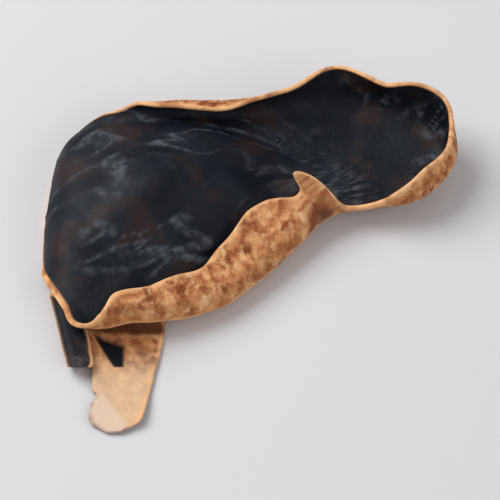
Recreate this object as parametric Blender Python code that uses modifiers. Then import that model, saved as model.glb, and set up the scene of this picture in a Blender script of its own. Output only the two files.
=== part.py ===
"""A dried wood ear mushroom: one thin leathery sheet, black above and tan felt below, lying flat.

The sheet is worked out in three steps. A belly spans a closed crease line. Outside the crease a hem is
swept outwards and turned up, over or down, which gives the rolled rim and the drooping edges. A second,
smaller sheet makes the folded flap and tail at the near left. The cut foot is a short cone underneath.
+X runs along the ear, -Y is its rolled near rim, and z = 0 is the surface that it lies on.
"""

import math
from typing import NamedTuple

import bpy
import numpy as np

MM = 0.001
PLACE = (-7.2, -1.1, 0.0)
SHEET_THICKNESS = 1.0
GRID_CELLS = 44
GRID_TURN = -20.0
CURVE_STEPS = 40
BELLY_SHARE = 0.56
MIDDLE = (4.0, 10.0)
MIDDLE_HEIGHT = 4.6
MIDDLE_SPREAD = 9.5
PLEAT_HEIGHT = 0.55
PLEAT_START = 3.0
PLEAT_FADE = 9.0
TURN_RUFFLES = 11
TURN_RUFFLE = 4.0
HEM_RUFFLES = 18
HEM_RUFFLE = 0.018
HEM_CROWDING = 1.15
LEAST_FACING = 0.2
PATH_STEPS = 64
TAIL_ORIGIN = (-14.3, -4.05)
TAIL_ALONG = (0.253, -0.967)
TAIL_CELLS = (14, 24)
TAIL_CURVE_STEPS = 12
TAIL_HEIGHT = 0.45
TAIL_FOLD_RADIUS = 0.7
TAIL_FOLD_TURN = 180.0
TAIL_ROOT_RISE = 2.7
TAIL_ROOT_WIDTH = 4.0
TAIL_ROOT_END = 5.0
TAIL_ROOT_FADE = 7.0
TAIL_CUP_RISE = 0.35
TAIL_CUP_MIDDLE = 1.8
TAIL_CUP_WIDTH = 3.0
TAIL_CUP_START = 12.0
TAIL_CUP_FADE = 5.0
NOTCH_CENTRE = (-13.2, -15.56, 1.7)
NOTCH_SIZE = (6.0, 3.2, 12.0)
NOTCH_TILT = 32.0
FOOT_CENTRE = (18.0, 12.6)
FOOT_RADIUS = 4.6
FOOT_OVAL = 0.72
FOOT_FLARE = 1.12
FOOT_TURN = 20.0
FOOT_TOP = 1.6
FOOT_BELOW = 1.0
FOOT_SIDES = 28
GROUND_SIZE = 120.0


class Station(NamedTuple):
    """One place on the crease line, with the hem that leaves it, in millimetres and degrees."""

    x: float
    y: float
    z: float
    slope: float
    turn: float
    radius: float
    hem: float
    slant: float = 0.0
    hook: float = 0.0


class Swell(NamedTuple):
    """A smooth hill of the belly, or a hollow where its height is negative."""

    height: float
    x: float
    y: float
    across: float
    along: float
    bearing: float


class Pleat(NamedTuple):
    """One set of soft wrinkles round the foot, whose lines sway as they run outwards."""

    share: float
    per_radian: float
    phase: float
    sway: float
    sway_per_mm: float
    sway_phase: float


CREASE = [
    Station(-12.6, 4.6, 4.8, -20, -66, 5.0, 6.2),
    Station(-12.5, 9.8, 4.9, -20, -68, 4.6, 6.2),
    Station(-11.4, 14.0, 4.9, -18, -60, 4.2, 5.2),
    Station(-7.8, 16.1, 5.1, -12, 24, 2.2, 2.0),
    Station(-4.6, 16.6, 5.2, -8, 128, 1.3, 3.4),
    Station(-1.0, 16.9, 5.1, -5, 154, 1.3, 4.3),
    Station(5.0, 17.1, 4.2, 0, 154, 1.6, 5.4),
    Station(11.6, 17.6, 3.2, 4, 100, 2.6, 5.4),
    Station(17.0, 18.6, 2.8, 8, 62, 3.4, 6.6),
    Station(22.4, 18.4, 2.8, 10, 104, 2.6, 7.4),
    Station(26.8, 16.2, 2.8, 12, 66, 3.2, 6.6),
    Station(28.4, 12.8, 2.5, 10, 98, 2.6, 6.2),
    Station(25.8, 9.6, 2.2, 8, 116, 2.4, 6.2),
    Station(22.4, 8.9, 1.8, 2, 88, 2.4, 4.4),
    Station(19.4, 8.4, 1.7, -2, 76, 2.2, 3.0),
    Station(17.4, 8.1, 1.6, -4, 116, 1.9, 3.4, -2),
    Station(16.2, 7.7, 1.6, -5, 134, 1.7, 5.2, -5, 8),
    Station(15.2, 7.2, 1.6, -6, 148, 1.7, 9.4, -10, 66),
    Station(14.2, 6.5, 1.5, -7, 156, 1.6, 7.0, -8, 32),
    Station(13.1, 5.7, 1.4, -8, 162, 1.6, 6.6, -6, 8),
    Station(11.4, 3.9, 1.2, -12, 178, 1.6, 9.1),
    Station(8.4, 0.8, 0.8, -16, 182, 1.6, 9.4),
    Station(3.4, -3.6, 0.7, -18, 184, 1.6, 8.0),
    Station(-3.0, -6.2, 1.7, -16, 182, 1.5, 6.8),
    Station(-6.4, -6.9, 2.3, -12, 176, 1.5, 6.0),
    Station(-7.8, -7.4, 2.5, -9, 168, 1.5, 5.6),
    Station(-8.8, -7.8, 2.65, -7, 146, 1.6, 4.9),
    Station(-9.6, -8.05, 2.85, -5, 106, 1.6, 4.0),
    Station(-10.4, -8.0, 2.95, -4, 62, 1.8, 3.1, 6),
    Station(-11.1, -7.4, 3.05, -3, 22, 2.2, 2.4, 8),
    Station(-11.7, -6.3, 3.2, -3, 2, 2.6, 2.0, 4),
    Station(-12.2, -5.0, 3.4, -5, -8, 2.8, 2.3),
    Station(-12.8, -2.8, 3.7, -9, -16, 3.0, 3.2),
    Station(-13.0, 0.2, 4.2, -18, -56, 4.0, 5.0),
]

SWELLS = [
    Swell(2.4, -6.0, 9.0, 8.0, 6.0, 25),
    Swell(-1.6, 16.0, 12.5, 6.0, 3.5, 10),
]

PLEATS = [
    Pleat(0.6, 9, 0.0, 1.1, 0.21, 0.0),
    Pleat(0.4, 16, 0.8, 1.5, 0.17, 1.0),
]

# distance along the tail, then its left and right margins, both measured across from the fold
TAIL_MARGINS = [
    (-2.0, 0.8, 8.0),
    (0.2, -1.6, 10.0),
    (2.6, -3.5, 11.3),
    (5.4, -4.3, 10.5),
    (8.0, -4.2, 9.4),
    (9.9, -3.8, 8.5),
    (11.3, -1.8, 7.9),
    (12.6, 1.3, 7.3),
    (14.2, 0.4, 6.6),
    (16.3, -0.2, 5.5),
    (17.1, 0.6, 4.2),
    (17.7, 1.4, 2.9),
]


def smooth(t):
    """A step from 0 to 1 with level ends."""
    t = np.clip(t, 0.0, 1.0)
    return t * t * (3 - 2 * t)


def closed_spline(points, per_span):
    """A closed centripetal curve through points, as rows of the same columns."""
    rows = []
    count = len(points)
    for index in range(count):
        p0, p1, p2, p3 = (points[(index + step - 1) % count] for step in range(4))
        spans = [math.dist(a[:2], b[:2]) ** 0.5 for a, b in ((p0, p1), (p1, p2), (p2, p3))]
        t0, t1 = 0.0, spans[0]
        t2, t3 = t1 + spans[1], t1 + spans[1] + spans[2]
        for t in np.linspace(t1, t2, per_span, endpoint=False):
            a1 = ((t1 - t) * p0 + (t - t0) * p1) / (t1 - t0)
            a2 = ((t2 - t) * p1 + (t - t1) * p2) / (t2 - t1)
            a3 = ((t3 - t) * p2 + (t - t2) * p3) / (t3 - t2)
            b1 = ((t2 - t) * a1 + (t - t0) * a2) / (t2 - t0)
            b2 = ((t3 - t) * a2 + (t - t1) * a3) / (t3 - t1)
            rows.append(((t2 - t) * b1 + (t - t1) * b2) / (t2 - t1))
    return np.array(rows)


def open_spline(points, per_span):
    """A Catmull-Rom curve through every point, as rows of the same columns."""
    padded = np.vstack([2 * points[0] - points[1], points, 2 * points[-1] - points[-2]])
    rows = []
    for p0, p1, p2, p3 in zip(padded, padded[1:], padded[2:], padded[3:]):
        for t in np.linspace(0, 1, per_span, endpoint=False):
            inner = (2 * p0 - 5 * p1 + 4 * p2 - p3) * t**2 + (3 * (p1 - p2) + p3 - p0) * t**3
            rows.append((2 * p1 + (p2 - p0) * t + inner) / 2)
    rows.append(points[-1])
    return np.array(rows)


class CreaseLine:
    """The crease line as functions of the direction seen from the middle of the belly."""

    def __init__(self, stations):
        rows = closed_spline(np.array(stations, float), CURVE_STEPS)
        ahead = np.roll(rows[:, :2], -1, axis=0)
        behind = np.roll(rows[:, :2], 1, axis=0)
        tangent = ahead - behind
        tangent /= np.linalg.norm(tangent, axis=1)[:, None]
        # The stations run clockwise, so the way out is a quarter turn to the left of the tangent.
        slant = np.radians(rows[:, 7])
        out_x = -tangent[:, 1] * np.cos(slant) - tangent[:, 0] * np.sin(slant)
        out_y = tangent[:, 0] * np.cos(slant) - tangent[:, 1] * np.sin(slant)
        angle = np.unwrap(np.arctan2(rows[:, 1] - MIDDLE[1], rows[:, 0] - MIDDLE[0]))
        assert (np.diff(angle) < 0).all(), "crease line doubles back"
        lengths = np.hypot(*np.diff(rows[:, :2], axis=0).T)
        walked = np.concatenate([[0], np.cumsum(lengths)])
        share = 2 * math.pi * walked / walked[-1]
        turns = rows[:, 4] + TURN_RUFFLE * np.sin(TURN_RUFFLES * share)
        hems = rows[:, 6] * (1 + HEM_RUFFLE * np.sin(HEM_RUFFLES * share))
        self.angle = -angle
        self.columns = np.column_stack([rows[:, :4], turns, rows[:, 5], hems, rows[:, 8], out_x, out_y])

    def at(self, direction):
        """x, y, z, slope, turn, radius, hem, hook, out_x and out_y of the crease in a direction."""
        start = self.angle[0]
        key = (-direction - start) % (2 * math.pi) + start
        angles = np.append(self.angle, start + 2 * math.pi)
        rows = np.vstack([self.columns, self.columns[:1]])
        return [np.interp(key, angles, rows[:, column]) for column in range(rows.shape[1])]


def swelling(x, y):
    """The hills and hollows of the belly."""
    total = np.zeros_like(x)
    for swell in SWELLS:
        c, s = math.cos(math.radians(swell.bearing)), math.sin(math.radians(swell.bearing))
        dx, dy = x - swell.x, y - swell.y
        a, b = dx * c + dy * s, -dx * s + dy * c
        total += swell.height * np.exp(-0.5 * ((a / swell.across) ** 2 + (b / swell.along) ** 2))
    return total


def pleating(x, y):
    """The soft wrinkles of the sheet, which fan out from the foot."""
    dx, dy = x - FOOT_CENTRE[0], y - FOOT_CENTRE[1]
    distance = np.hypot(dx, dy)
    bearing = np.arctan2(dy, -dx)
    total = np.zeros_like(x)
    for pleat in PLEATS:
        swayed = pleat.sway * np.sin(pleat.sway_per_mm * distance + pleat.sway_phase)
        total += pleat.share * np.sin(pleat.per_radian * bearing + pleat.phase + swayed)
    return PLEAT_HEIGHT * total * smooth((distance - PLEAT_START) / PLEAT_FADE)


def bent_path(start_slope, turn, radius, hook, length, whole):
    """How far out, sideways and up a hem reaches: an arc, then straight on, hooking to one side."""
    out = np.zeros_like(length)
    side = np.zeros_like(length)
    up = np.zeros_like(length)
    for step in range(PATH_STEPS):
        walked = length * (step + 0.5) / PATH_STEPS
        heading = start_slope + np.sign(turn) * np.minimum(walked / radius, np.radians(np.abs(turn)))
        swing = np.radians(hook) * (walked / whole) ** 2
        out += np.cos(heading) * np.cos(swing) * length / PATH_STEPS
        side += np.cos(heading) * np.sin(swing) * length / PATH_STEPS
        up += np.sin(heading) * length / PATH_STEPS
    return out, side, up


def sheet_points(u, v, crease):
    """The middle surface of the main sheet, for a square of -1 to 1."""
    disc_x = u * np.sqrt(1 - v * v / 2)
    disc_y = v * np.sqrt(1 - u * u / 2)
    radial = np.hypot(disc_x, disc_y)
    direction = np.arctan2(disc_y, disc_x) + math.radians(GRID_TURN)
    cx, cy, cz, slope, turn, radius, hem, hook, ox, oy = crease.at(direction)
    size = np.hypot(ox, oy)
    ox, oy = ox / size, oy / size
    reach = np.hypot(cx - MIDDLE[0], cy - MIDDLE[1])

    inner = np.minimum(radial / BELLY_SHARE, 1)
    rounding = smooth(inner)
    away = inner * ((1 - rounding) * MIDDLE_SPREAD + rounding * reach)
    x = MIDDLE[0] + away * np.cos(direction)
    y = MIDDLE[1] + away * np.sin(direction)
    grade = np.tan(np.radians(slope))
    z = MIDDLE_HEIGHT * (1 - 3 * inner**2 + 2 * inner**3)
    z += cz * (3 * inner**2 - 2 * inner**3)
    z += grade * reach * (inner**3 - inner**2)
    z += (1 - inner**3) ** 2 * swelling(x, y)
    z += (1 - inner**6) ** 2 * pleating(x, y)

    facing = np.clip(np.cos(direction) * ox + np.sin(direction) * oy, LEAST_FACING, 1)
    walked = np.maximum(radial - BELLY_SHARE, 0) / (1 - BELLY_SHARE)
    length = hem * walked**HEM_CROWDING
    out, side, up = bent_path(np.arctan(grade * facing), turn, radius, hook, length, hem)
    on_hem = radial > BELLY_SHARE
    x = np.where(on_hem, cx + ox * out - oy * side, x)
    y = np.where(on_hem, cy + oy * out + ox * side, y)
    z = np.where(on_hem, cz + up, z)
    return np.stack([x, y, z], axis=1)


def tail_points(u, v):
    """The middle surface of the folded flap and tail, for a square of -1 to 1."""
    rows = open_spline(np.array(TAIL_MARGINS), TAIL_CURVE_STEPS)
    knots = np.linspace(-1, 1, len(rows))
    along, left, right = (np.interp(-v, knots, rows[:, column]) for column in range(3))
    across = left + (right - left) * (u + 1) / 2
    flap = np.maximum(-across, 0)
    out = np.zeros_like(flap)
    up = np.zeros_like(flap)
    for step in range(PATH_STEPS):
        walked = flap * (step + 0.5) / PATH_STEPS
        heading = np.minimum(walked / TAIL_FOLD_RADIUS, math.radians(TAIL_FOLD_TURN))
        out += np.cos(heading) * flap / PATH_STEPS
        up += np.sin(heading) * flap / PATH_STEPS
    side = np.maximum(across, 0) - out
    root = smooth((TAIL_ROOT_END - along) / TAIL_ROOT_FADE)
    cup = smooth((along - TAIL_CUP_START) / TAIL_CUP_FADE)
    z = TAIL_HEIGHT + up + TAIL_ROOT_RISE * root * smooth(across / TAIL_ROOT_WIDTH)
    z += TAIL_CUP_RISE * cup * ((side - TAIL_CUP_MIDDLE) / TAIL_CUP_WIDTH) ** 2
    x = TAIL_ORIGIN[0] + TAIL_ALONG[0] * along + side
    y = TAIL_ORIGIN[1] + TAIL_ALONG[1] * along
    return np.stack([x, y, z], axis=1)


def material(name, colour, roughness):
    """A plain finish."""
    made = bpy.data.materials.new(name)
    made.use_nodes = True
    shader = made.node_tree.nodes["Principled BSDF"]
    shader.inputs["Base Color"].default_value = (*colour, 1.0)
    shader.inputs["Roughness"].default_value = roughness
    return made


def file_under(item, collection):
    """Moves an object into one collection."""
    for holder in list(item.users_collection):
        holder.objects.unlink(item)
    collection.objects.link(item)


def sheet_object(name, cells, place):
    """A grid whose points are placed by a function, thickened to a leathery sheet."""
    bpy.ops.mesh.primitive_grid_add(x_subdivisions=cells[0], y_subdivisions=cells[1], size=2)
    sheet = bpy.context.object
    sheet.name = name
    points = np.empty(len(sheet.data.vertices) * 3)
    sheet.data.vertices.foreach_get("co", points)
    points = points.reshape(-1, 3)
    placed = (place(points[:, 0], points[:, 1]) + PLACE) * MM
    sheet.data.vertices.foreach_set("co", placed.ravel())
    sheet.data.update()
    sheet.data.shade_smooth()
    thicken = sheet.modifiers.new("thicken", "SOLIDIFY")
    thicken.thickness = SHEET_THICKNESS * MM
    thicken.offset = 0
    thicken.use_quality_normals = True
    return sheet


def combine(target, other, operation):
    """Adds an exact Boolean to target and makes the other object a hidden guide."""
    step = target.modifiers.new(f"{operation.lower()} {other.name}", "BOOLEAN")
    step.operation = operation
    step.solver = "EXACT"
    step.object = other
    other.hide_render = True
    other.display_type = "WIRE"


def make_foot():
    """The cut foot: a short oval cone from inside the belly down through the surface."""
    bpy.ops.mesh.primitive_cone_add(
        vertices=FOOT_SIDES,
        radius1=FOOT_RADIUS * MM,
        radius2=FOOT_RADIUS * FOOT_FLARE * MM,
        depth=(FOOT_TOP + FOOT_BELOW) * MM,
        location=(
            (FOOT_CENTRE[0] + PLACE[0]) * MM,
            (FOOT_CENTRE[1] + PLACE[1]) * MM,
            (FOOT_TOP - FOOT_BELOW) / 2 * MM,
        ),
        rotation=(0, 0, math.radians(FOOT_TURN)),
    )
    foot = bpy.context.object
    foot.name = "foot"
    foot.scale = (1, FOOT_OVAL, 1)
    bpy.ops.object.transform_apply(location=False, rotation=False, scale=True)
    return foot


def make_ground():
    """A block below z = 0 that trims flat whatever reaches the surface."""
    bpy.ops.mesh.primitive_cube_add(size=1, location=(0, 0, -GROUND_SIZE / 2 * MM))
    ground = bpy.context.object
    ground.name = "ground"
    ground.dimensions = [GROUND_SIZE * MM] * 3
    bpy.ops.object.transform_apply(location=False, rotation=False, scale=True)
    return ground


def make_notch():
    """A tilted block that cuts the flap off beside the tail."""
    place = [(centre + shift) * MM for centre, shift in zip(NOTCH_CENTRE, PLACE)]
    tilt = (math.radians(NOTCH_TILT), 0, 0)
    bpy.ops.mesh.primitive_cube_add(size=1, location=place, rotation=tilt)
    notch = bpy.context.object
    notch.name = "notch"
    notch.dimensions = [side * MM for side in NOTCH_SIZE]
    bpy.ops.object.transform_apply(location=False, rotation=False, scale=True)
    return notch


def main():
    for item in list(bpy.data.objects):
        bpy.data.objects.remove(item)
    parts = bpy.data.collections.new("wood ear mushroom")
    guides = bpy.data.collections.new("cutters")
    for collection in (parts, guides):
        bpy.context.scene.collection.children.link(collection)

    crease = CreaseLine(CREASE)
    ear = sheet_object("wood_ear", (GRID_CELLS, GRID_CELLS), lambda u, v: sheet_points(u, v, crease))
    ear.data.materials.append(material("dried wood ear", (0.036, 0.036, 0.042), 0.5))
    tail = sheet_object("tail", TAIL_CELLS, tail_points)
    foot = make_foot()
    notch = make_notch()
    ground = make_ground()
    combine(tail, notch, "DIFFERENCE")
    combine(ear, tail, "UNION")
    combine(ear, foot, "UNION")
    combine(ear, ground, "DIFFERENCE")
    file_under(ear, parts)
    for guide in (tail, foot, notch, ground):
        file_under(guide, guides)


if __name__ == "__main__":
    main()
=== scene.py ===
"""The finish of a dried wood ear mushroom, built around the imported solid.

The ear is one thin leathery sheet, black and finely wrinkled above and covered in tan felt below. It is
worked out as the solid is: a belly inside a closed crease line, a hem outside it that rolls up, over or
down, and a second small sheet for the folded flap and the pale tail. Here the sheet is fine enough to
carry its wrinkles and felt as real relief, and it thins to a rounded edge.
"""

import logging
import math
from dataclasses import dataclass, field
from enum import Enum
from typing import Callable, NamedTuple

import bpy
import numpy as np
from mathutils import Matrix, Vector
from mathutils.kdtree import KDTree


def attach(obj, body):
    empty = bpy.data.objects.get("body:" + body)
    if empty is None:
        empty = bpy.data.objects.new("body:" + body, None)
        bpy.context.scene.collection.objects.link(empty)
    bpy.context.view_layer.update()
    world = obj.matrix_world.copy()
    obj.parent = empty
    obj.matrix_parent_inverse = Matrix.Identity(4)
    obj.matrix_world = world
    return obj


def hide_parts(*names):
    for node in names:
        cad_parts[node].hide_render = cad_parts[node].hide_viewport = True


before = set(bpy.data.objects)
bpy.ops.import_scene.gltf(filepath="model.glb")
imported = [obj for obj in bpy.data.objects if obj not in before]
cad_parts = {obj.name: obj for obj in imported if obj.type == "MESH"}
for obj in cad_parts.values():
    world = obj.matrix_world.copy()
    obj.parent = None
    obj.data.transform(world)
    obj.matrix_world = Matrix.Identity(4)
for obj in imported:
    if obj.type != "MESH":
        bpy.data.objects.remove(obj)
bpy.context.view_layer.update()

LOG = logging.getLogger("wood_ear")
MM = 0.001
PLACE = np.array([-7.2, -1.1, 0.0])
FOOT_CENTRE = (18.0, 12.6)
PATH_STEPS = 64
CURVE_STEPS = 40
TAIL_CURVE_STEPS = 12
FELT_SHIFT = 30.0
MARKS = ("pale", "stain_and_shade", "shaded_pit", "line", "worn", "lobe")


class Side(Enum):
    """The two faces of the sheet."""

    BLACK = 0
    FELT = 1


class Joining(Enum):
    """How one closed mesh acts on another."""

    JOIN = "UNION"
    CUT = "DIFFERENCE"


class Station(NamedTuple):
    """One place on the crease line, with the hem that leaves it, in millimetres and degrees."""

    x: float
    y: float
    z: float
    slope: float
    turn: float
    radius: float
    hem: float
    slant: float = 0.0
    hook: float = 0.0


class Swell(NamedTuple):
    """A smooth hill of the belly, or a hollow where its height is negative."""

    height: float
    x: float
    y: float
    across: float
    along: float
    bearing: float


class Pleat(NamedTuple):
    """One set of soft wrinkles round the foot, whose lines sway as they run outwards."""

    share: float
    per_radian: float
    phase: float
    sway: float
    sway_per_mm: float
    sway_phase: float


CREASE = [
    Station(-12.6, 4.6, 4.8, -20, -66, 5.0, 6.2),
    Station(-12.5, 9.8, 4.9, -20, -68, 4.6, 6.2),
    Station(-11.4, 14.0, 4.9, -18, -60, 4.2, 5.2),
    Station(-7.8, 16.1, 5.1, -12, 24, 2.2, 2.0),
    Station(-4.6, 16.6, 5.2, -8, 128, 1.3, 3.4),
    Station(-1.0, 16.9, 5.1, -5, 154, 1.3, 4.3),
    Station(5.0, 17.1, 4.2, 0, 154, 1.6, 5.4),
    Station(11.6, 17.6, 3.2, 4, 100, 2.6, 5.4),
    Station(17.0, 18.6, 2.8, 8, 62, 3.4, 6.6),
    Station(22.4, 18.4, 2.8, 10, 104, 2.6, 7.4),
    Station(26.8, 16.2, 2.8, 12, 66, 3.2, 6.6),
    Station(28.4, 12.8, 2.5, 10, 98, 2.6, 6.2),
    Station(25.8, 9.6, 2.2, 8, 116, 2.4, 6.2),
    Station(22.4, 8.9, 1.8, 2, 88, 2.4, 4.4),
    Station(19.4, 8.4, 1.7, -2, 76, 2.2, 3.0),
    Station(17.4, 8.1, 1.6, -4, 116, 1.9, 3.4, -2),
    Station(16.2, 7.7, 1.6, -5, 134, 1.7, 5.2, -5, 8),
    Station(15.2, 7.2, 1.6, -6, 148, 1.7, 9.4, -10, 66),
    Station(14.2, 6.5, 1.5, -7, 156, 1.6, 7.0, -8, 32),
    Station(13.1, 5.7, 1.4, -8, 162, 1.6, 6.6, -6, 8),
    Station(11.4, 3.9, 1.2, -12, 178, 1.6, 9.1),
    Station(8.4, 0.8, 0.8, -16, 182, 1.6, 9.4),
    Station(3.4, -3.6, 0.7, -18, 184, 1.6, 8.0),
    Station(-3.0, -6.2, 1.7, -16, 182, 1.5, 6.8),
    Station(-6.4, -6.9, 2.3, -12, 176, 1.5, 6.0),
    Station(-7.8, -7.4, 2.5, -9, 168, 1.5, 5.6),
    Station(-8.8, -7.8, 2.65, -7, 146, 1.6, 4.9),
    Station(-9.6, -8.05, 2.85, -5, 106, 1.6, 4.0),
    Station(-10.4, -8.0, 2.95, -4, 62, 1.8, 3.1, 6),
    Station(-11.1, -7.4, 3.05, -3, 22, 2.2, 2.4, 8),
    Station(-11.7, -6.3, 3.2, -3, 2, 2.6, 2.0, 4),
    Station(-12.2, -5.0, 3.4, -5, -8, 2.8, 2.3),
    Station(-12.8, -2.8, 3.7, -9, -16, 3.0, 3.2),
    Station(-13.0, 0.2, 4.2, -18, -56, 4.0, 5.0),
]

SWELLS = [
    Swell(2.4, -6.0, 9.0, 8.0, 6.0, 25),
    Swell(-1.6, 16.0, 12.5, 6.0, 3.5, 10),
]

PLEATS = [
    Pleat(0.6, 9, 0.0, 1.1, 0.21, 0.0),
    Pleat(0.4, 16, 0.8, 1.5, 0.17, 1.0),
]

# distance along the tail, then its left and right margins, both measured across from the fold
TAIL_MARGINS = [
    (-2.0, 0.8, 8.0),
    (0.2, -1.6, 10.0),
    (2.6, -3.5, 11.3),
    (5.4, -4.3, 10.5),
    (8.0, -4.2, 9.4),
    (9.9, -3.8, 8.5),
    (11.3, -1.8, 7.9),
    (12.6, 1.3, 7.3),
    (14.2, 0.4, 6.6),
    (16.3, -0.2, 5.5),
    (17.1, 0.6, 4.2),
    (17.7, 1.4, 2.9),
]


def smooth(t: np.ndarray) -> np.ndarray:
    """A step from 0 to 1 with level ends."""
    t = np.clip(t, 0.0, 1.0)
    return t * t * (3 - 2 * t)


def lattice(ix: np.ndarray, iy: np.ndarray, seed: float) -> np.ndarray:
    """A fixed pseudo-random value from 0 to 1 at each whole-number place.

    Args:
        ix: Whole numbers across.
        iy: Whole numbers along.
        seed: Sets one pattern apart from another.

    Returns:
        One value for each place.
    """
    mixed = np.sin(ix * 127.1 + iy * 311.7 + seed * 74.7) * 43758.5453
    return mixed - np.floor(mixed)


def noise(x: np.ndarray, y: np.ndarray, seed: float) -> np.ndarray:
    """Smooth noise from 0 to 1 whose features are about one unit across.

    Args:
        x: Places across.
        y: Places along.
        seed: Sets one pattern apart from another.

    Returns:
        One value for each place.
    """
    ix, iy = np.floor(x), np.floor(y)
    fx, fy = smooth(x - ix), smooth(y - iy)
    low = lattice(ix, iy, seed) * (1 - fx) + lattice(ix + 1, iy, seed) * fx
    high = lattice(ix, iy + 1, seed) * (1 - fx) + lattice(ix + 1, iy + 1, seed) * fx
    return low * (1 - fy) + high * fy


def layered(x: np.ndarray, y: np.ndarray, seed: float, layers: int = 3) -> np.ndarray:
    """Noise from 0 to 1 with finer and weaker layers on top.

    Args:
        x: Places across.
        y: Places along.
        seed: Sets one pattern apart from another.
        layers: How many layers are added.

    Returns:
        One value for each place.
    """
    total, weight = np.zeros_like(x), 0.0
    for layer in range(layers):
        share = 0.5**layer
        total += share * noise(x * 2**layer, y * 2**layer, seed + 13 * layer)
        weight += share
    return total / weight


def ridges(x: np.ndarray, y: np.ndarray, seed: float) -> np.ndarray:
    """Narrow crests from 0 to 1 that wander between the features of a noise."""
    return 1 - np.abs(2 * layered(x, y, seed, 2) - 1)


def spline(points: np.ndarray, per_span: int, closed: bool) -> np.ndarray:
    """A curve through every point.

    Args:
        points: Rows of values, of which the first two are the place that sets the spacing.
        per_span: Rows made between one point and the next.
        closed: Whether the last point runs on to the first.

    Returns:
        Rows of the same columns.
    """
    count = len(points)
    if closed:
        padded = np.vstack([points[-1], points, points[0], points[1]])
    else:
        padded = np.vstack([2 * points[0] - points[1], points, 2 * points[-1] - points[-2]])
    rows = []
    for index in range(count if closed else count - 1):
        p0, p1, p2, p3 = padded[index : index + 4]
        if closed:
            spans = [math.dist(a[:2], b[:2]) ** 0.5 for a, b in ((p0, p1), (p1, p2), (p2, p3))]
        else:
            spans = [1.0, 1.0, 1.0]
        t0, t1 = 0.0, spans[0]
        t2, t3 = t1 + spans[1], t1 + spans[1] + spans[2]
        for t in np.linspace(t1, t2, per_span, endpoint=False):
            a1 = ((t1 - t) * p0 + (t - t0) * p1) / (t1 - t0)
            a2 = ((t2 - t) * p1 + (t - t1) * p2) / (t2 - t1)
            a3 = ((t3 - t) * p2 + (t - t2) * p3) / (t3 - t2)
            b1 = ((t2 - t) * a1 + (t - t0) * a2) / (t2 - t0)
            b2 = ((t3 - t) * a2 + (t - t1) * a3) / (t3 - t1)
            rows.append(((t2 - t) * b1 + (t - t1) * b2) / (t2 - t1))
    if not closed:
        rows.append(points[-1])
    return np.array(rows)


def bent_path(
    start: np.ndarray,
    turn: np.ndarray,
    radius: np.ndarray,
    length: np.ndarray,
    hook: np.ndarray,
    whole: np.ndarray,
) -> tuple:
    """How far out, sideways and up a strip reaches: an arc, then straight on, hooking to one side.

    Args:
        start: Slope that the strip sets off at, in radians.
        turn: How far it turns, in degrees, up if positive.
        radius: Radius of the turn.
        length: Length walked along the strip.
        hook: How far the strip's end swings to one side, in degrees.
        whole: Length of the whole strip.

    Returns:
        Distance out, distance sideways and distance up.
    """
    out, side, up = np.zeros_like(length), np.zeros_like(length), np.zeros_like(length)
    for step in range(PATH_STEPS):
        walked = length * (step + 0.5) / PATH_STEPS
        heading = start + np.sign(turn) * np.minimum(walked / radius, np.radians(np.abs(turn)))
        swing = np.radians(hook) * (walked / whole) ** 2
        out += np.cos(heading) * np.cos(swing) * length / PATH_STEPS
        side += np.cos(heading) * np.sin(swing) * length / PATH_STEPS
        up += np.sin(heading) * length / PATH_STEPS
    return out, side, up


@dataclass
class Placed:
    """The middle surface of a sheet, point by point.

    Attributes:
        points: Places in millimetres, before the ear's own place is added.
        flat: Where each point lies on the sheet laid out flat, in millimetres.
        edge: Distance to the nearest free margin, in millimetres.
        reach: How far the felt comes round the margin onto the black face, in millimetres.
        marks: Values from 0 to 1 under the names in MARKS: pale where the sheet is bleached and thin,
        stain where the felt turns darker brown, at spots where it stayed wet, in a patch beside the strap
        and as painted shade under the rolled rim, pit in the dented recess beside the flap, painted
        near black as its shadow, line on light lines of the felt, worn on the outside of a fold, and
        lobe on the thin end of the tail. A mark left out is 0.
        outside: The face that is outside where the sheet folds.
    """

    points: np.ndarray
    flat: np.ndarray
    edge: np.ndarray
    reach: np.ndarray
    marks: dict
    outside: Side

    def mark(self, name: str) -> np.ndarray:
        """One of the marks, or zeros if the sheet has none of it."""
        return self.marks.get(name, np.zeros(len(self.edge)))


@dataclass(frozen=True)
class Ruffles:
    """How the hem wavers along the crease line."""

    turns: int = 11
    turn: float = 4.0
    hems: int = 18
    hem: float = 0.018


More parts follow.
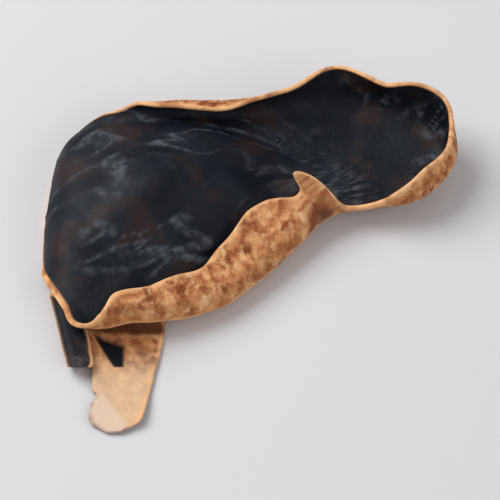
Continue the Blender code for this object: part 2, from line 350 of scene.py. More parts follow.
class CreaseLine:
    """The crease line as functions of the direction seen from the middle of the belly."""

    def __init__(self, stations: list, middle: tuple, ruffles: Ruffles) -> None:
        """Runs a closed curve through the stations.

        Args:
            stations: Places on the line, clockwise.
            middle: Middle of the belly, from which the line is seen.
            ruffles: How the hem wavers along the line.
        """
        rows = spline(np.array(stations, float), CURVE_STEPS, closed=True)
        tangent = np.roll(rows[:, :2], -1, axis=0) - np.roll(rows[:, :2], 1, axis=0)
        tangent /= np.linalg.norm(tangent, axis=1)[:, None]
        slant = np.radians(rows[:, 7])
        out_x = -tangent[:, 1] * np.cos(slant) - tangent[:, 0] * np.sin(slant)
        out_y = tangent[:, 0] * np.cos(slant) - tangent[:, 1] * np.sin(slant)
        lengths = np.hypot(*np.diff(rows[:, :2], axis=0).T)
        walked = np.concatenate([[0], np.cumsum(lengths)])
        share = 2 * math.pi * walked / walked[-1]
        turns = rows[:, 4] + ruffles.turn * np.sin(ruffles.turns * share)
        hems = rows[:, 6] * (1 + ruffles.hem * np.sin(ruffles.hems * share))
        angle = np.unwrap(np.arctan2(rows[:, 1] - middle[1], rows[:, 0] - middle[0]))
        self.angle = -angle
        self.columns = np.column_stack([rows[:, :4], turns, rows[:, 5], hems, rows[:, 8], out_x, out_y])

    def at(self, direction: np.ndarray) -> list:
        """The crease in each direction.

        Args:
            direction: Bearings from the middle, in radians.

        Returns:
            x, y, z, slope, turn, radius, hem, hook, out_x and out_y.
        """
        start = self.angle[0]
        key = (-direction - start) % (2 * math.pi) + start
        angles = np.append(self.angle, start + 2 * math.pi)
        rows = np.vstack([self.columns, self.columns[:1]])
        return [np.interp(key, angles, rows[:, column]) for column in range(rows.shape[1])]


@dataclass(frozen=True)
class Relief:
    """Wrinkles, lumps and thickness of the sheet; lengths in millimetres, scales per millimetre."""

    pleat: float = 0.55
    pleat_start: float = 3.0
    pleat_fade: float = 9.0
    half_thickness: float = 0.46
    thin_share: float = 0.42
    thin_reach: float = 5.0
    pale_share: float = 0.3
    edge_round: float = 0.3
    edge_share: float = 0.25
    wrinkle: float = 0.13
    wrinkles_per_radian: float = 11
    wrinkle_bend: float = 0.35
    patch_scale: float = 0.13
    grain: float = 0.035
    grain_scale: float = 0.9
    felt_lump: float = 0.07
    lump_scale: float = 0.7
    pit_depth: float = 0.34
    sway: float = 0.16
    sway_scale: float = 0.22

    def fan(self, flat: np.ndarray) -> tuple:
        """Distance from the foot and bearing round it, for a pattern that fans out from there."""
        dx, dy = flat[:, 0] - FOOT_CENTRE[0], flat[:, 1] - FOOT_CENTRE[1]
        return np.hypot(dx, dy), np.arctan2(dy, -dx)

    def pleats(self, flat: np.ndarray) -> np.ndarray:
        """The broad soft wrinkles, which fan out from the foot."""
        distance, bearing = self.fan(flat)
        total = np.zeros_like(distance)
        for pleat in PLEATS:
            swayed = pleat.sway * np.sin(pleat.sway_per_mm * distance + pleat.sway_phase)
            total += pleat.share * np.sin(pleat.per_radian * bearing + pleat.phase + swayed)
        return self.pleat * total * smooth((distance - self.pleat_start) / self.pleat_fade)

    def crests(self, flat: np.ndarray) -> np.ndarray:
        """The narrow wrinkle lines of the black face, from 0 to 1."""
        distance, bearing = self.fan(flat)
        bend = self.wrinkle_bend * layered(distance * 0.12, bearing * 3, seed=5.0)
        lines = ridges((bearing + bend) * self.wrinkles_per_radian, distance * 0.13, seed=2.0)
        where = layered(flat[:, 0] * self.patch_scale, flat[:, 1] * self.patch_scale, seed=9.0)
        patch = smooth((where - 0.38) / 0.3)
        return patch * smooth((lines - 0.78) / 0.20)

    def black(self, flat: np.ndarray) -> np.ndarray:
        """Height of the black face's relief."""
        fine = layered(flat[:, 0] * self.grain_scale, flat[:, 1] * self.grain_scale, seed=3.0) - 0.5
        return self.wrinkle * self.crests(flat) + 2 * self.grain * fine

    def felt(self, flat: np.ndarray) -> np.ndarray:
        """Height of the felted back's relief."""
        lumps = layered(flat[:, 0] * self.lump_scale, flat[:, 1] * self.lump_scale, seed=7.0) - 0.5
        return 2 * self.felt_lump * lumps

    def swaying(self, flat: np.ndarray) -> np.ndarray:
        """Small bends of the whole sheet."""
        bends = layered(flat[:, 0] * self.sway_scale, flat[:, 1] * self.sway_scale, seed=4.0, layers=2)
        return 2 * self.sway * (bends - 0.5)

    def half(self, edge: np.ndarray, pale: np.ndarray) -> np.ndarray:
        """Half the sheet's thickness: thinner towards the margin and round at it.

        Args:
            edge: Distance to the margin.
            pale: How bleached and thin the sheet is.

        Returns:
            Half thickness at each point.
        """
        body = 1 - self.thin_share * (1 - smooth(edge / self.thin_reach))
        body *= 1 - self.pale_share * pale
        curve = 1 - np.clip(edge / self.edge_round, 0, 1)
        rounded = self.edge_share + (1 - self.edge_share) * np.sqrt(1 - curve**2)
        return self.half_thickness * body * rounded


@dataclass(frozen=True)
class BellySheet:
    """The main sheet: the belly inside the crease line and the hem outside it."""

    cells: int = 182
    grid_turn: float = -20.0
    belly_share: float = 0.56
    middle: tuple = (4.0, 10.0)
    middle_height: float = 4.6
    middle_spread: float = 9.5
    least_facing: float = 0.2
    hem_crowding: float = 1.15
    felt_least: float = 0.02
    felt_waver: float = 0.22
    waver_scale: float = 0.3
    dark_patch_centre: tuple = (15.7, 4.5)
    dark_patch_spread: float = 1.35
    bare_margins: tuple = ((-14.2, -5.6, 3.4, 0.45), (-18.6, 6.0, 4.5, 1.1))
    worn_slope: float = 58.0
    worn_spread: float = 0.65
    relief: Relief = field(default_factory=Relief)
    ruffles: Ruffles = field(default_factory=Ruffles)

    @staticmethod
    def swelling(flat: np.ndarray) -> np.ndarray:
        """Height of the hills and hollows of the belly."""
        total = np.zeros(len(flat))
        for swell in SWELLS:
            c, s = math.cos(math.radians(swell.bearing)), math.sin(math.radians(swell.bearing))
            dx, dy = flat[:, 0] - swell.x, flat[:, 1] - swell.y
            a, b = dx * c + dy * s, -dx * s + dy * c
            total += swell.height * np.exp(-0.5 * ((a / swell.across) ** 2 + (b / swell.along) ** 2))
        return total

    def place(self, u: np.ndarray, v: np.ndarray) -> Placed:
        """Places each point of a square from -1 to 1 on the middle surface.

        Args:
            u: Points across the square.
            v: Points along the square.

        Returns:
            The placed sheet.
        """
        disc_x = u * np.sqrt(1 - v * v / 2)
        disc_y = v * np.sqrt(1 - u * u / 2)
        radial = np.hypot(disc_x, disc_y)
        direction = np.arctan2(disc_y, disc_x) + math.radians(self.grid_turn)
        line = CreaseLine(CREASE, self.middle, self.ruffles)
        cx, cy, cz, slope, turn, radius, hem, hook, ox, oy = line.at(direction)
        size = np.hypot(ox, oy)
        ox, oy = ox / size, oy / size
        far = np.hypot(cx - self.middle[0], cy - self.middle[1])

        inner = np.minimum(radial / self.belly_share, 1)
        rounding = smooth(inner)
        away = inner * ((1 - rounding) * self.middle_spread + rounding * far)
        x = self.middle[0] + away * np.cos(direction)
        y = self.middle[1] + away * np.sin(direction)
        belly = np.stack([x, y], axis=1)
        grade = np.tan(np.radians(slope))
        z = self.middle_height * (1 - 3 * inner**2 + 2 * inner**3)
        z += cz * (3 * inner**2 - 2 * inner**3)
        z += grade * far * (inner**3 - inner**2)
        z += (1 - inner**3) ** 2 * self.swelling(belly)
        z += (1 - inner**6) ** 2 * self.relief.pleats(belly)

        facing = np.clip(np.cos(direction) * ox + np.sin(direction) * oy, self.least_facing, 1)
        walked = np.maximum(radial - self.belly_share, 0) / (1 - self.belly_share)
        length = hem * walked**self.hem_crowding
        out, side, up = bent_path(np.arctan(grade * facing), turn, radius, length, hook, hem)
        on_hem = radial > self.belly_share
        points = np.stack(
            [
                np.where(on_hem, cx + ox * out - oy * side, x),
                np.where(on_hem, cy + oy * out + ox * side, y),
                np.where(on_hem, cz + up, z),
            ],
            axis=1,
        )
        flat = np.stack(
            [np.where(on_hem, cx + ox * length, x), np.where(on_hem, cy + oy * length, y)], axis=1
        )
        edge = np.where(on_hem, hem - length, hem + (1 - inner) * far)
        # a darker brown patch on the felt beside the strap
        stain_and_shade = self.patch(points, self.dark_patch_centre, self.dark_patch_spread)
        rubbed = radius * np.radians(self.worn_slope - slope)
        worn = np.exp(-(((length - rubbed) / self.worn_spread) ** 2)) * smooth((turn - 90) / 60)
        marks = {"stain_and_shade": stain_and_shade, "worn": np.where(on_hem, worn, 0.0)}
        return Placed(points, flat, edge, self.felt_reach(flat), marks, Side.FELT)

    def felt_reach(self, flat: np.ndarray) -> np.ndarray:
        """How far the felt comes round the margin, more where the margin is bare."""
        waver = layered(flat[:, 0] * self.waver_scale, flat[:, 1] * self.waver_scale, seed=6.0)
        reach = self.felt_least + self.felt_waver * waver
        for centre_x, centre_y, spread, bare in self.bare_margins:
            reach += bare * self.patch(flat, (centre_x, centre_y), spread)
        return reach

    @staticmethod
    def patch(places: np.ndarray, centre: tuple, spread: float) -> np.ndarray:
        """A round patch that fades from 1 in its centre."""
        away = np.hypot(places[:, 0] - centre[0], places[:, 1] - centre[1])
        return np.exp(-0.5 * (away / spread) ** 2)


@dataclass(frozen=True)
class TailSheet:
    """The folded flap and the tail, one small sheet that leaves from under the belly."""

    cells: tuple = (92, 116)
    origin: tuple = (-14.3, -4.05)
    along: tuple = (0.253, -0.967)
    height: float = 0.45
    root_rise: float = 2.7
    root_width: float = 4.0
    root_end: float = 5.0
    root_fade: float = 7.0
    cup_rise: float = 0.35
    cup_start: float = 12.0
    cup_fade: float = 5.0
    cup_width: float = 3.0
    cup_middle: float = 0.6
    half_length: float = 10.0
    fold_radius: float = 0.7
    fold_turn: float = 180.0
    notch_centre: tuple = (-13.2, -15.56, 1.7)
    notch_size: tuple = (6.0, 3.2, 12.0)
    notch_tilt: float = 32.0
    flat_shift: float = 60.0
    pit_corners: tuple = ((5.3, 2.9), (5.9, 4.2), (6.6, 5.8), (9.3, 5.2), (9.3, 4.1), (7.1, 3.3))
    pit_edge: float = 0.45
    pit_line: tuple = ((4.6, 2.3), (9.7, 4.4))
    band_line: tuple = ((5.7, 4.8), (5.3, 9.0))
    line_width: float = 0.3
    felt_reach: float = 0.12
    worn_fold: float = 1.0
    worn_spread: float = 0.4
    rim_shade_end: float = 4.6
    rim_shade_fade: float = 0.8
    rim_shade_side: float = 2.5
    rim_shade_side_fade: float = 2.0
    pale_start: float = 5.5
    pale_fade: float = 7.0
    damp_spot: tuple = (7.7, 7.8)
    lobe_line: tuple = ((12.2, 1.8), (17.1, 3.9))

    def place(self, u: np.ndarray, v: np.ndarray) -> Placed:
        """Places each point of a square from -1 to 1 on the middle surface.

        Args:
            u: Points across the square.
            v: Points along the square, 1 at the root and -1 at the tip.

        Returns:
            The placed sheet.
        """
        rows = spline(np.array(TAIL_MARGINS), TAIL_CURVE_STEPS, closed=False)
        knots = np.linspace(-1, 1, len(rows))
        along, left, right = (np.interp(-v, knots, rows[:, column]) for column in range(3))
        across = left + (right - left) * (u + 1) / 2
        flap = np.maximum(-across, 0)
        level = np.zeros_like(flap)
        out, _, up = bent_path(level, self.fold_turn, self.fold_radius, flap, level, level + 1)
        side = np.maximum(across, 0) - out
        root = smooth((self.root_end - along) / self.root_fade)
        z = self.height + up + root * self.root_rise * smooth(across / self.root_width)
        cup = self.cup_rise * smooth((along - self.cup_start) / self.cup_fade)
        z += cup * (side / self.cup_width - self.cup_middle) ** 2
        x = self.origin[0] + self.along[0] * along + side
        y = self.origin[1] + self.along[1] * along
        edge = np.minimum((1 - np.abs(u)) * (right - left) / 2, (1 + v) * self.half_length)
        flat = np.stack([across + self.flat_shift, along], axis=1)
        reach = np.full(len(along), self.felt_reach)
        points = np.stack([x, y, z], axis=1)
        return Placed(points, flat, edge, reach, self.marks(along, across), Side.BLACK)

    def marks(self, along: np.ndarray, across: np.ndarray) -> dict:
        """The marks of the flap and the tail.

        Args:
            along: Distance along the tail.
            across: Distance across from the fold.

        Returns:
            Each mark's values under its name.
        """
        spots = np.stack([along, across], axis=1)
        # the recess beside the flap: dented, and painted near black as its shadow
        shaded_pit = smooth(self.inside(spots) / self.pit_edge + 0.5)
        line = 1 - smooth(self.away(spots, self.pit_line) / self.line_width)
        band = 0.5 * (1 - smooth(self.away(spots, self.band_line) / (2 * self.line_width)))
        fold = np.exp(-(((across + self.worn_fold) / self.worn_spread) ** 2))
        fold *= smooth((across + 2 * self.worn_fold) / self.worn_spread)
        # painted shade: the felt just under the rolled rim turns darker brown, partly its own darker
        # colour
        hollow = 1 - smooth((along - self.rim_shade_end) / self.rim_shade_fade)
        hollow *= smooth((across - self.rim_shade_side) / self.rim_shade_side_fade)
        dark_brown = 0.7 * np.exp(-np.hypot(*(spots - self.damp_spot).T) ** 2)
        return {
            "pale": smooth((along - self.pale_start) / self.pale_fade),
            "stain_and_shade": np.maximum(hollow, dark_brown),
            "shaded_pit": shaded_pit,
            "line": np.maximum(line, band) * (1 - shaded_pit),
            "worn": fold,
            "lobe": self.lobe(along, across),
        }

    def inside(self, spots: np.ndarray) -> np.ndarray:
        """How far each spot lies inside the shaded recess beside the flap, negative outside it."""
        sides = list(zip(self.pit_corners, self.pit_corners[1:] + self.pit_corners[:1]))
        away = np.min([self.away(spots, side) for side in sides], axis=0)
        crossings = np.zeros(len(spots), int)
        for (a0, s0), (a1, s1) in sides:
            spans = (s0 > spots[:, 1]) != (s1 > spots[:, 1])
            crossings += spans & (spots[:, 0] < a0 + (spots[:, 1] - s0) / (s1 - s0) * (a1 - a0))
        return np.where(crossings % 2 == 1, away, -away)

    @staticmethod
    def away(spots: np.ndarray, line: tuple) -> np.ndarray:
        """Distance from each spot to a straight line between two places."""
        start = np.array(line[0])
        run = np.array(line[1]) - start
        share = np.clip((spots - start) @ run / (run @ run), 0, 1)
        return np.linalg.norm(spots - start - share[:, None] * run, axis=1)

    def lobe(self, along: np.ndarray, across: np.ndarray) -> np.ndarray:
        """From 0 to 1, how far to the left of the line that sets the thin lobe off."""
        (a0, s0), (a1, s1) = self.lobe_line
        border = s0 + (along - a0) * (s1 - s0) / (a1 - a0)
        return smooth((border - across) / 1.5 + 0.5) * smooth((along - a0) / 2.0 + 0.5)


class SkinData:
    """What every point of the ear's surface knows about itself, kept through the joining."""

    felt_fade = 0.3

    def __init__(self) -> None:
        """Starts with no points."""
        self.places: list = []
        self.values: list = []

    def add(self, points: np.ndarray, placed: Placed, side: Side) -> None:
        """Remembers one face of a sheet.

        Args:
            points: Finished places in metres.
            placed: The middle surface that they come from.
            side: Which face of the sheet they are on.
        """
        felt = np.full(len(points), float(side.value))
        if side is Side.BLACK:
            felt = 1 - smooth((placed.edge - placed.reach) / self.felt_fade)
        marks = np.column_stack([placed.mark(name) for name in MARKS])
        if side is not placed.outside:
            marks[:, MARKS.index("worn")] = 0
        self.places.append(points)
        self.values.append(np.column_stack([placed.flat, felt, placed.edge, marks]))

    def write(self, piece: bpy.types.Object, relief: Relief) -> None:
        """Gives each vertex of a finished mesh the values of the nearest remembered point.

        Args:
            piece: The joined ear.
            relief: Where the wrinkle lines run.
        """
        places, values = np.vstack(self.places), np.vstack(self.values)
        tree = KDTree(len(places))
        for index, point in enumerate(places):
            tree.insert(point, index)
        tree.balance()
        mesh = piece.data
        nearest = np.array([tree.find(vertex.co)[1] for vertex in mesh.vertices])
        found = values[nearest]
        # where a highlight is painted along the wrinkle crests of the black face
        crest_highlight = relief.crests(found[:, :2]) * (1 - found[:, 2])
        named = dict(zip(("felt", "edge", *MARKS), found[:, 2:].T), crest_highlight=crest_highlight)
        for name, column in named.items():
            layer = mesh.attributes.new(name, "FLOAT", "POINT")
            layer.data.foreach_set("value", column.astype(np.float32))
        flat = np.column_stack([found[:, :2], FELT_SHIFT * (found[:, 2] > 0.5)])
        layer = mesh.attributes.new("flat", "FLOAT_VECTOR", "POINT")
        layer.data.foreach_set("vector", flat.astype(np.float32).ravel())


@dataclass
class Ear:
    """The whole dried ear."""

    belly: BellySheet = field(default_factory=BellySheet)
    tail: TailSheet = field(default_factory=TailSheet)
    relief: Relief = field(default_factory=Relief)
    skin: SkinData = field(default_factory=SkinData)
    calm_edge: float = 0.8
    foot_sides: int = 96
    foot_radius: float = 4.6
    foot_flare: float = 1.12
    foot_oval: float = 0.72
    foot_turn: float = 20.0
    foot_top: float = 1.6

    def sheet(self, name: str, cells: tuple, place: Callable, upper: Side) -> bpy.types.Object:
        """A grid laid on a middle surface, given two faces and its relief.

        Args:
            name: Name of the piece.
            cells: Cells of the grid, across and along.
            place: Places the grid's points on the middle surface.
            upper: The face on the side that the grid's normals point to.

        Returns:
            A closed sheet.
        """
        bpy.ops.object.select_all(action="DESELECT")
        bpy.ops.mesh.primitive_grid_add(x_subdivisions=cells[0], y_subdivisions=cells[1], size=2)
        piece = bpy.context.object
        piece.name = name
        mesh = piece.data
        count = len(mesh.vertices)
        square = np.empty(count * 3)
        mesh.vertices.foreach_get("co", square)
        square = square.reshape(-1, 3)
        placed = place(square[:, 0], square[:, 1])
        mesh.vertices.foreach_set("co", placed.points.ravel())
        mesh.update()
        normals = np.empty(count * 3)
        mesh.vertices.foreach_get("normal", normals)
        normals = normals.reshape(-1, 3)

        thicken = piece.modifiers.new("thicken", "SOLIDIFY")
        thicken.thickness = 1.0
        thicken.offset = 0
        bpy.ops.object.modifier_apply(modifier=thicken.name)

        half = self.relief.half(placed.edge, placed.mark("pale"))
        calm = smooth(placed.edge / self.calm_edge)
        middle = placed.points + normals * (self.relief.swaying(placed.flat) * calm)[:, None]
        faces = []
        lower = Side.FELT if upper is Side.BLACK else Side.BLACK
        for side, way in ((upper, 1.0), (lower, -1.0)):
            if side is Side.BLACK:
                height = self.relief.black(placed.flat)
            else:
                height = self.relief.felt(placed.flat) - self.relief.pit_depth * placed.mark("shaded_pit")
            points = middle + way * normals * (half + height * calm)[:, None]
            points[:, 2] = np.maximum(points[:, 2], 0.0)
            faces.append((points + PLACE) * MM)
            self.skin.add(faces[-1], placed, side)
        thick = np.empty(len(mesh.vertices) * 3)
        mesh.vertices.foreach_get("co", thick)
        first_is_upper = np.sum((thick.reshape(-1, 3)[:count] - placed.points) * normals) > 0
        ordered = faces if first_is_upper else faces[::-1]
        mesh.vertices.foreach_set("co", np.vstack(ordered).ravel())
        mesh.update()
        return piece

    def foot(self) -> bpy.types.Object:
        """The short cut foot, an oval cone whose flat end is the cut."""
        bpy.ops.object.select_all(action="DESELECT")
        bpy.ops.mesh.primitive_cone_add(
            vertices=self.foot_sides,
            radius1=self.foot_radius * MM,
            radius2=self.foot_radius * self.foot_flare * MM,
            depth=self.foot_top * MM,
            location=(
                (FOOT_CENTRE[0] + PLACE[0]) * MM,
                (FOOT_CENTRE[1] + PLACE[1]) * MM,
                self.foot_top / 2 * MM,
            ),
            rotation=(0, 0, math.radians(self.foot_turn)),
        )
        foot = bpy.context.object
        foot.name = "foot"
        foot.scale = (1, self.foot_oval, 1)
        bpy.ops.object.transform_apply(location=True, rotation=True, scale=True)
        return foot

    def notch(self) -> bpy.types.Object:
        """The tilted block that cuts the flap off beside the tail."""
        bpy.ops.object.select_all(action="DESELECT")
        place = (Vector(self.tail.notch_centre) + Vector(PLACE)) * MM
        tilt = (math.radians(self.tail.notch_tilt), 0, 0)
        bpy.ops.mesh.primitive_cube_add(size=1, location=place, rotation=tilt)
        notch = bpy.context.object
        notch.name = "notch"
        notch.dimensions = Vector(self.tail.notch_size) * MM
        bpy.ops.object.transform_apply(location=True, rotation=True, scale=True)
        return notch

    @staticmethod
    def combine(target: bpy.types.Object, other: bpy.types.Object, joining: Joining) -> None:
        """Joins another closed mesh to the target, or cuts it off, and removes it.

        Args:
            target: The piece that is changed.
            other: The mesh that is joined or cut off.
            joining: Whether it is joined or cut off.
        """
        step = target.modifiers.new("combine", "BOOLEAN")
        step.operation = joining.value
        step.solver = "EXACT"
        step.object = other
        bpy.ops.object.select_all(action="DESELECT")
        target.select_set(True)
        bpy.context.view_layer.objects.active = target
        bpy.ops.object.modifier_apply(modifier=step.name)
        bpy.data.objects.remove(other)

    def build(self) -> bpy.types.Object:
        """Models the ear and joins its sheets.

        Returns:
            The finished piece.
        """
        belly_cells = (self.belly.cells, self.belly.cells)
        ear = self.sheet("wood_ear_skin", belly_cells, self.belly.place, Side.BLACK)
        tail = self.sheet("tail", self.tail.cells, self.tail.place, Side.FELT)
        self.combine(tail, self.notch(), Joining.CUT)
        self.combine(ear, tail, Joining.JOIN)
        self.combine(ear, self.foot(), Joining.JOIN)
        self.skin.write(ear, self.relief)
        ear.data.shade_smooth()
        return ear


class Shader:
    """Short ways to add nodes to a material."""

    def __init__(self, name: str) -> None:
        """Starts a material with a Principled shader.

        Args:
            name: Name of the material.
        """
        self.material = bpy.data.materials.new(name)
        self.material.use_nodes = True
        self.nodes = self.material.node_tree.nodes
        self.links = self.material.node_tree.links
        self.surface = self.nodes["Principled BSDF"]

    def put(self, socket: bpy.types.NodeSocket, value: object) -> None:
        """Links a socket to another, or sets its own value."""
        if isinstance(value, bpy.types.NodeSocket):
            self.links.new(value, socket)
        elif isinstance(value, tuple) and len(value) == 3 and socket.type == "RGBA":
            socket.default_value = (*value, 1.0)
        else:
            socket.default_value = value

    def attribute(self, name: str, output: str = "Fac") -> bpy.types.NodeSocket:
        """Reads an attribute of the mesh."""
        node = self.nodes.new("ShaderNodeAttribute")
        node.attribute_name = name
        return node.outputs[output]

    def noise(
        self, vector: object, scale: float, detail: float = 3.0, rough: float = 0.5
    ) -> bpy.types.NodeSocket:
        """A noise from 0 to 1.

        Args:
            vector: Where it is read.
            scale: Features per millimetre.
            detail: Finer layers.
            rough: Strength of the finer layers.

        Returns:
            The noise's value.
        """
        node = self.nodes.new("ShaderNodeTexNoise")
        self.put(node.inputs["Vector"], vector)
        node.inputs["Scale"].default_value = scale
        node.inputs["Detail"].default_value = detail
        node.inputs["Roughness"].default_value = rough
        return node.outputs["Fac"]

    def span(self, value: object, low: float, high: float, to: tuple = (0.0, 1.0)) -> bpy.types.NodeSocket:
        """Maps a range smoothly onto another.

        Args:
            value: What is mapped.
            low: Start of its range.
            high: End of its range.
            to: The two ends of the new range.

        Returns:
            The mapped value.
        """
        node = self.nodes.new("ShaderNodeMapRange")
        node.interpolation_type = "SMOOTHSTEP"
        self.put(node.inputs["Value"], value)
        node.inputs["From Min"].default_value = low
        node.inputs["From Max"].default_value = high
        node.inputs["To Min"].default_value = to[0]
        node.inputs["To Max"].default_value = to[1]
        return node.outputs["Result"]

    def mix(self, share: object, first: object, second: object) -> bpy.types.NodeSocket:
        """Mixes two colours.

        Args:
            share: 0 for the first colour and 1 for the second.
            first: A colour or a socket.
            second: A colour or a socket.

        Returns:
            The mixed colour.
        """
        node = self.nodes.new("ShaderNodeMix")
        node.data_type = "RGBA"
        self.put(node.inputs[0], share)
        self.put(node.inputs[6], first)
        self.put(node.inputs[7], second)
        return node.outputs[2]

    def maths(self, operation: str, first: object, second: object) -> bpy.types.NodeSocket:
        """One step of arithmetic."""
        node = self.nodes.new("ShaderNodeMath")
        node.operation = operation
        self.put(node.inputs[0], first)
        self.put(node.inputs[1], second)
        return node.outputs[0]


@dataclass(frozen=True)
class EarSkin:
    """The finish of the whole ear: black skin, tan felt, light margins and a bleached tail."""

    blue_black: tuple = (0.0044, 0.0064, 0.0110)
    grey_black: tuple = (0.0115, 0.0150, 0.0215)
    plum_black: tuple = (0.030, 0.016, 0.017)
    # painted highlight along the wrinkle crests of the black face
    highlight_grey: tuple = (0.115, 0.125, 0.145)
    felt_dark: tuple = (0.300, 0.085, 0.028)
    felt_mid: tuple = (0.500, 0.200, 0.078)
    felt_light: tuple = (0.760, 0.390, 0.175)
    cream: tuple = (0.880, 0.580, 0.300)
    blotch: tuple = (0.200, 0.045, 0.014)
    # dark brown of wet spots on the felt, also used as painted shade under the rolled rim
    dark_brown: tuple = (0.120, 0.040, 0.020)
    # painted shadow in the recess beside the flap
    pocket_shadow: tuple = (0.006, 0.009, 0.015)
    margin: tuple = (0.900, 0.500, 0.240)
    bleached: tuple = (0.800, 0.560, 0.360)
    thin_lobe: tuple = (0.780, 0.590, 0.460)
    lobe_rim: tuple = (0.420, 0.260, 0.200)
    black_rough: tuple = (0.46, 0.60)
    felt_rough: tuple = (0.86, 0.86, 0.86)
    specular: float = 0.15
    bump_strength: float = 0.5
    bump_height: float = 0.00016

    def black_colour(self, shader: Shader, flat: object) -> bpy.types.NodeSocket:
        """Blue-black with greyer and plum patches, and a painted highlight along the wrinkle crests."""
        grey = shader.span(shader.noise(flat, 0.14), 0.38, 0.68)
        colour = shader.mix(grey, self.blue_black, self.grey_black)
        plum = shader.span(shader.noise(flat, 0.17, 2.0), 0.50, 0.66, (0.0, 0.85))
        colour = shader.mix(plum, colour, self.plum_black)
        # painted highlight along the wrinkle crests, broken into patches
        broken = shader.span(shader.noise(flat, 0.9, 2.0), 0.38, 0.62, (0.15, 0.65))
        crest_highlight = shader.maths("MULTIPLY", shader.attribute("crest_highlight"), broken)
        colour = shader.mix(crest_highlight, colour, self.highlight_grey)
        speck = shader.span(shader.noise(flat, 3.2, 2.0, 0.7), 0.5, 0.8, (0.0, 0.35))
        return shader.mix(speck, colour, self.grey_black)

    def felt_colour(self, shader: Shader, flat: object) -> bpy.types.NodeSocket:
        """Tan felt with dark blotches and cream patches."""
        tone = shader.noise(flat, 0.6, 4.0, 0.6)
        colour = shader.mix(shader.span(tone, 0.34, 0.54), self.felt_dark, self.felt_mid)
        colour = shader.mix(shader.span(tone, 0.46, 0.70), colour, self.felt_light)
        light = shader.span(shader.noise(flat, 0.8, 3.0), 0.50, 0.76, (0.0, 0.8))
        colour = shader.mix(light, colour, self.cream)
        spot = shader.span(shader.noise(flat, 0.5, 3.0), 0.53, 0.70, (0.0, 1.0))
        colour = shader.mix(spot, colour, self.blotch)
        nap = shader.span(shader.noise(flat, 5.0, 3.0, 0.7), 0.45, 0.75, (0.0, 0.25))
        return shader.mix(nap, colour, self.felt_light)

    def make(self) -> bpy.types.Material:
        """Puts the finish together.

        Returns:
            The material.
        """
        shader = Shader("dried wood ear skin")
        flat = shader.attribute("flat", "Vector")
        felt = shader.attribute("felt")
        edge = shader.attribute("edge")
        black = self.black_colour(shader, flat)
        tan = self.felt_colour(shader, flat)
        marked = {
            # darker brown on the felt: wet spots, a patch beside the strap, and painted shade under the
            # rolled rim
            "stain_and_shade": (0.9, self.dark_brown),
            "pale": (0.75, self.bleached),
            "lobe": (0.85, self.thin_lobe),
            "line": (0.75, self.margin),
        }
        for name, (strength, paint) in marked.items():
            tan = shader.mix(shader.span(shader.attribute(name), 0.0, 1.0, (0.0, strength)), tan, paint)
        wander = shader.span(shader.noise(flat, 0.5, 3.0), 0.3, 0.7, (-0.25, 0.25))
        near = shader.span(shader.maths("ADD", edge, wander), 0.2, 0.7, (0.95, 0.0))
        patchy = shader.span(shader.noise(flat, 0.45, 2.0), 0.36, 0.62, (0.3, 1.0))
        near = shader.maths("MULTIPLY", near, patchy)
        rim = shader.mix(shader.attribute("lobe"), self.margin, self.lobe_rim)
        tan = shader.mix(near, tan, rim)
        colour = shader.mix(felt, black, tan)
        worn = shader.span(shader.attribute("worn"), 0.0, 1.0, (0.0, 0.75))
        colour = shader.mix(worn, colour, self.margin)
        # painted shadow in the recess beside the flap
        colour = shader.mix(shader.attribute("shaded_pit"), colour, self.pocket_shadow)
        shader.put(shader.surface.inputs["Base Color"], colour)
        gloss = shader.span(shader.noise(flat, 0.4, 3.0), 0.3, 0.7, self.black_rough)
        rough = shader.mix(felt, gloss, self.felt_rough)
        shader.put(shader.surface.inputs["Roughness"], rough)
        shader.put(shader.surface.inputs["Specular IOR Level"], self.specular)
        self.bump(shader, flat, felt)
        return shader.material

    def bump(self, shader: Shader, flat: object, felt: object) -> None:
        """Adds the finest creases of the skin and the nap of the felt.

        Args:
            shader: The material's nodes.
            flat: Places on the flat sheet.
            felt: 1 on the felt and 0 on the black face.
        """
        crease = shader.noise(flat, 1.7, 4.0, 0.6)
        nap = shader.noise(flat, 6.0, 3.0, 0.7)
        height = shader.mix(felt, crease, nap)
        node = shader.nodes.new("ShaderNodeBump")
        node.inputs["Strength"].default_value = self.bump_strength
        node.inputs["Distance"].default_value = self.bump_height
        shader.put(node.inputs["Height"], height)
        shader.put(shader.surface.inputs["Normal"], node.outputs["Normal"])


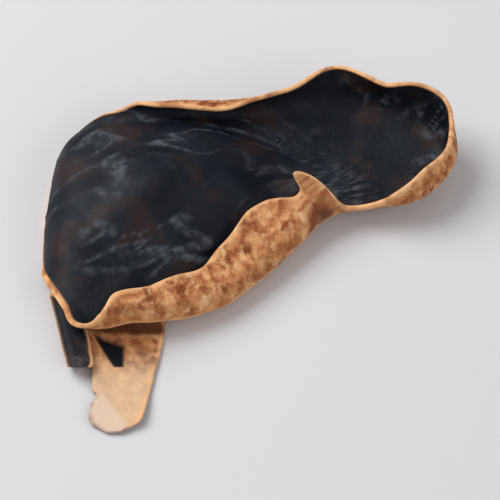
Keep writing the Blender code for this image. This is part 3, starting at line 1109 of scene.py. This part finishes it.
@dataclass(frozen=True)
class Studio:
    """The pale floor, the soft lights and the camera.

    Attributes:
        key: Place, length of side and watts of the main light.
        fill: The same for the light from the other side.
    """

    floor_size: float = 6.0
    floor_colour: tuple = (0.68, 0.68, 0.70)
    floor_rough: float = 0.85
    room_strength: float = 0.36
    target: tuple = (0.0, -0.001, 0.004)
    elevation: float = 58.0
    frame_width: float = 0.056
    lens: float = 200.0
    clip_start: float = 0.01
    key: tuple = ((-0.30, 0.16, 0.42), 0.36, 2.5)
    fill: tuple = ((0.40, -0.25, 0.30), 0.40, 0.8)

    def floor(self) -> None:
        """Lays the plain floor that the ear lies on."""
        bpy.ops.object.select_all(action="DESELECT")
        bpy.ops.mesh.primitive_plane_add(size=self.floor_size)
        floor = bpy.context.object
        floor.name = "floor"
        shader = Shader("plain pale floor")
        shader.put(shader.surface.inputs["Base Color"], self.floor_colour)
        shader.put(shader.surface.inputs["Roughness"], self.floor_rough)
        floor.data.materials.append(shader.material)

    def light(self, name: str, place: tuple, size: float, power: float) -> None:
        """Adds one soft square light that looks at the ear.

        Args:
            name: Name of the light.
            place: Where it stands.
            size: Length of its side.
            power: Its power in watts.
        """
        data = bpy.data.lights.new(name, "AREA")
        data.size = size
        data.energy = power
        lamp = bpy.data.objects.new(name, data)
        bpy.context.scene.collection.objects.link(lamp)
        lamp.location = place
        lamp.rotation_euler = (Vector(self.target) - lamp.location).to_track_quat("-Z", "Y").to_euler()

    def camera(self) -> None:
        """Sets the camera at the photograph's angle, looking down on the laid ear."""
        data = bpy.data.cameras.new("camera")
        camera = bpy.data.objects.new("camera", data)
        bpy.context.scene.collection.objects.link(camera)
        rise = math.radians(self.elevation)
        back = Vector((0, -math.cos(rise), math.sin(rise)))
        distance = self.lens / data.sensor_width * self.frame_width
        camera.location = Vector(self.target) + back * distance
        camera.rotation_euler = (-back).to_track_quat("-Z", "Y").to_euler()
        data.lens = self.lens
        data.clip_start = self.clip_start
        bpy.context.scene.camera = camera

    def build(self) -> None:
        """Sets up the whole studio."""
        self.floor()
        self.light("key", *self.key)
        self.light("fill", *self.fill)
        world = bpy.data.worlds.new("soft room")
        world.use_nodes = True
        background = world.node_tree.nodes["Background"]
        background.inputs["Color"].default_value = (1, 1, 1, 1)
        background.inputs["Strength"].default_value = self.room_strength
        bpy.context.scene.world = world
        bpy.context.scene.view_settings.view_transform = "Standard"
        self.camera()


def report(piece: bpy.types.Object) -> None:
    """Logs what was made."""
    faces = sum(len(face.vertices) - 2 for face in piece.data.polygons)
    size = ", ".join(f"{1000 * side:.1f}" for side in piece.dimensions)
    LOG.info("%s: %d triangles, %s mm", piece.name, faces, size)


def main() -> None:
    """Builds the ear, dresses it, sets the studio and reports."""
    logging.basicConfig(level=logging.INFO, format="%(message)s")
    ear = Ear().build()
    ear.data.materials.clear()
    ear.data.materials.append(EarSkin().make())
    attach(ear, "root")
    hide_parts("wood_ear")
    report(ear)
    Studio().build()


if __name__ == "__main__":
    main()
